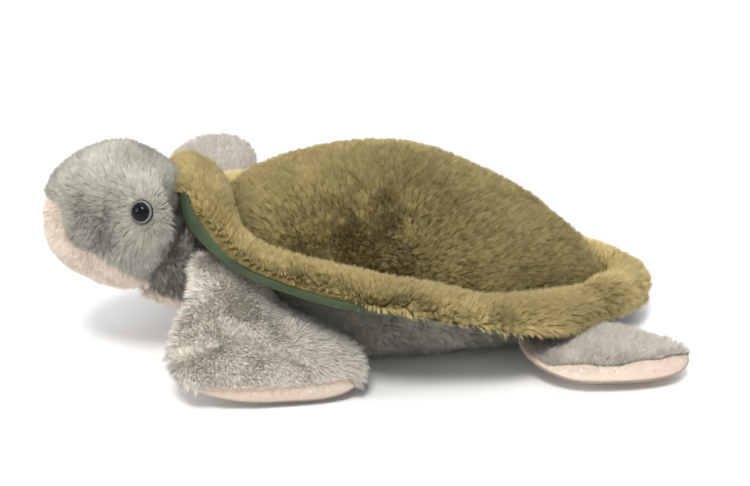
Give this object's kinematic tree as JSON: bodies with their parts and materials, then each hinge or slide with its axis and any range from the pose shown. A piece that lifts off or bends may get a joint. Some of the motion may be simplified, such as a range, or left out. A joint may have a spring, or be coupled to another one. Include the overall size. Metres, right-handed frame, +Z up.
{
  "type": "plush sea turtle toy",
  "caption": "Stuffed sea turtle toy lying on its belly: domed long-pile shell with a padded rim, soft grey head and flippers, pale muzzle and underside, plastic eyes.",
  "frame": {"origin": "middle of the turtle's bounding box at the level of the floor it lies on", "axes": "+Z up, head towards -X, tail towards +X, the turtle's left side towards -Y"},
  "size_m": [0.3839, 0.2888, 0.1363],
  "materials": {
    "shell_plush": "long mottled olive plush pile",
    "grey_plush": "sage-grey plush pile with pale tips",
    "pale_plush": "short pale peach plush pile",
    "lining_fabric": "smooth dark green woven lining with a faint sheen",
    "fibre_fill": "white polyester fibre stuffing",
    "eye_plastic": "polished dark domed eye with a grey ring",
    "washer_plastic": "moulded natural white"
  },
  "bodies": {
    "torso": {"shell_dome": "shell_plush", "shell_rim": "shell_plush", "shell_lining": "lining_fabric", "shell_fill": "fibre_fill", "rim_fill": "fibre_fill", "body_cover": "grey_plush", "belly_panel": "pale_plush", "body_fill": "fibre_fill"},
    "neck": {"neck_cover": "grey_plush", "throat_panel": "pale_plush", "neck_fill": "fibre_fill"},
    "head": {"head_cover": "grey_plush", "chin_panel": "pale_plush", "head_fill": "fibre_fill", "eye_left": "eye_plastic", "eye_right": "eye_plastic", "eye_washer_left": "washer_plastic", "eye_washer_right": "washer_plastic"},
    "flipper_front_left": {"flipper_front_left_top": "grey_plush", "flipper_front_left_bottom": "pale_plush", "flipper_front_left_fill": "fibre_fill"},
    "flipper_front_right": {"flipper_front_right_top": "grey_plush", "flipper_front_right_bottom": "pale_plush", "flipper_front_right_fill": "fibre_fill"},
    "flipper_rear_left": {"flipper_rear_left_top": "grey_plush", "flipper_rear_left_bottom": "pale_plush", "flipper_rear_left_fill": "fibre_fill"},
    "flipper_rear_right": {"flipper_rear_right_top": "grey_plush", "flipper_rear_right_bottom": "pale_plush", "flipper_rear_right_fill": "fibre_fill"}
  },
  "joints": [
    {"name": "neck_nod", "type": "hinge", "parent": "torso", "child": "neck", "pos_m": [-0.04761, -0.01897, 0.05], "axis": [0, 1, 0], "range_deg": [-12, 3], "stiffness_Nm_per_rad": 1.2},
    {"name": "head_turn", "type": "hinge", "parent": "neck", "child": "head", "pos_m": [-0.14061, -0.01897, 0.079], "axis": [0, 0, 1], "range_deg": [-12, 12], "stiffness_Nm_per_rad": 0.4},
    {"name": "front_left_flap", "type": "hinge", "parent": "torso", "child": "flipper_front_left", "pos_m": [-0.09161, -0.07397, 0.063], "axis": [-1, 0, 0], "range_deg": [-2, 30], "stiffness_Nm_per_rad": 0.3},
    {"name": "front_right_flap", "type": "hinge", "parent": "torso", "child": "flipper_front_right", "pos_m": [-0.09161, 0.03603, 0.058], "axis": [1, 0, 0], "range_deg": [-50, 6], "stiffness_Nm_per_rad": 0.3},
    {"name": "rear_left_flap", "type": "hinge", "parent": "torso", "child": "flipper_rear_left", "pos_m": [0.11039, -0.08497, 0.0185], "axis": [-1, 0, 0], "range_deg": [-3, 8], "stiffness_Nm_per_rad": 0.3},
    {"name": "rear_right_flap", "type": "hinge", "parent": "torso", "child": "flipper_rear_right", "pos_m": [0.11039, 0.04703, 0.0185], "axis": [1, 0, 0], "range_deg": [-3, 8], "stiffness_Nm_per_rad": 0.3}
  ]
}
